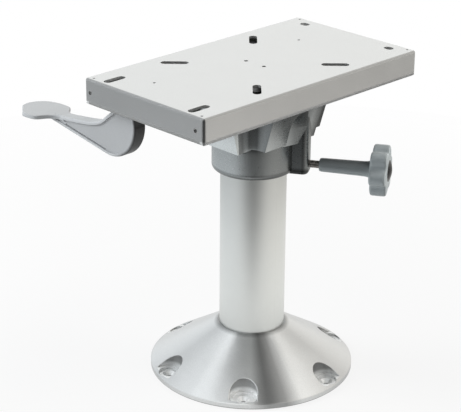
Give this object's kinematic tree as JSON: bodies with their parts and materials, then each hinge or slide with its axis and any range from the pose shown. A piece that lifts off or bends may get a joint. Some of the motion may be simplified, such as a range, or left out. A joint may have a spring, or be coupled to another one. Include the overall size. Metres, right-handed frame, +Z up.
{
  "type": "boat seat pedestal",
  "caption": "Swivelling seat pedestal for a boat: round bolt-down foot, column, swivel head with a clamp knob, and a slotted seat plate on a slide released by a side lever",
  "frame": {"origin": "centre of the bolt circle on the underside of the foot, where the pedestal stands on the deck", "axes": "+Z up along the column; the seat plate's long side and its slide run along Y, its short side along X; the release lever points to -X near the -Y end"},
  "size_m": [0.3433, 0.3332, 0.356],
  "materials": {
    "satin_aluminium": "satin turned aluminium, clear anodised",
    "tube_aluminium": "satin anodised drawn tube with fine lengthwise grain",
    "cast_aluminium": "bead-blasted casting with a fine grain",
    "machined_aluminium": "machined",
    "plate_coating": "satin light grey powder coat",
    "lever_plastic": "moulded light grey plastic",
    "knob_plastic": "moulded mid grey plastic",
    "cap_plastic": "black push-in cap",
    "stud_steel": "dark steel screw thread",
    "screw_steel": "zinc plated steel",
    "slide_steel": "black zinc plated pressed steel",
    "spring_steel": "spring steel",
    "pad_brass": "plain brass pad",
    "bearing_plastic": "natural bearing plastic",
    "glide_plastic": "black sliding plastic",
    "stop_rubber": "moulded rubber"
  },
  "bodies": {
    "pedestal": {"base": "satin_aluminium", "column_tube": "tube_aluminium", "tube_set_screws": "screw_steel", "tube_plug": "machined_aluminium", "thrust_bearing": "bearing_plastic", "pivot_bolt": "screw_steel", "pivot_washer": "screw_steel"},
    "swivel_head": {"swivel_housing": "cast_aluminium", "lower_bushing": "bearing_plastic", "upper_bushing": "bearing_plastic", "slide_base": "slide_steel", "slide_bolts": "screw_steel", "slide_washers": "screw_steel", "slide_glides": "glide_plastic", "lock_rack": "slide_steel"},
    "clamp_pad": {"friction_pad": "pad_brass"},
    "clamp_knob": {"lock_knob": "knob_plastic", "knob_stud": "stud_steel", "knob_cap": "cap_plastic"},
    "seat_slide": {"seat_plate": "plate_coating", "left_rail": "slide_steel", "right_rail": "slide_steel", "front_bracket": "slide_steel", "rear_bracket": "slide_steel", "travel_stops": "slide_steel", "stop_bumpers": "stop_rubber", "return_spring": "spring_steel"},
    "lever": {"release_lever": "lever_plastic", "lever_rod": "screw_steel", "lever_pins": "screw_steel", "lock_pawl": "slide_steel", "rod_clips": "spring_steel"}
  },
  "joints": [
    {"name": "seat_swivel", "type": "hinge", "parent": "pedestal", "child": "swivel_head", "pos_m": [0, 0, 0.3], "axis": [0, 0, 1], "continuous": true},
    {"name": "seat_travel", "type": "slide", "parent": "swivel_head", "child": "seat_slide", "axis": [0, 1, 0], "range_m": [-0.05, 0.05]},
    {"name": "lever_lift", "type": "hinge", "parent": "seat_slide", "child": "lever", "pos_m": [-0.042, -0.1422, 0.342], "axis": [0, 1, 0], "range_deg": [0, 16], "stiffness_Nm_per_rad": 0.08, "springref_deg": -34.38},
    {"name": "pad_travel", "type": "slide", "parent": "swivel_head", "child": "clamp_pad", "axis": [0.852, 0.5235, 0], "range_m": [0, 0.0025]},
    {"name": "knob_turn", "type": "hinge", "parent": "clamp_pad", "child": "clamp_knob", "pos_m": [0.11843, 0.07277, 0.2478], "axis": [0.852, 0.5235, 0], "range_deg": [0, 720]}
  ],
  "couplings": [
    {"joint": "knob_turn", "follows": "pad_travel", "rad_per_m": 5026.5}
  ]
}
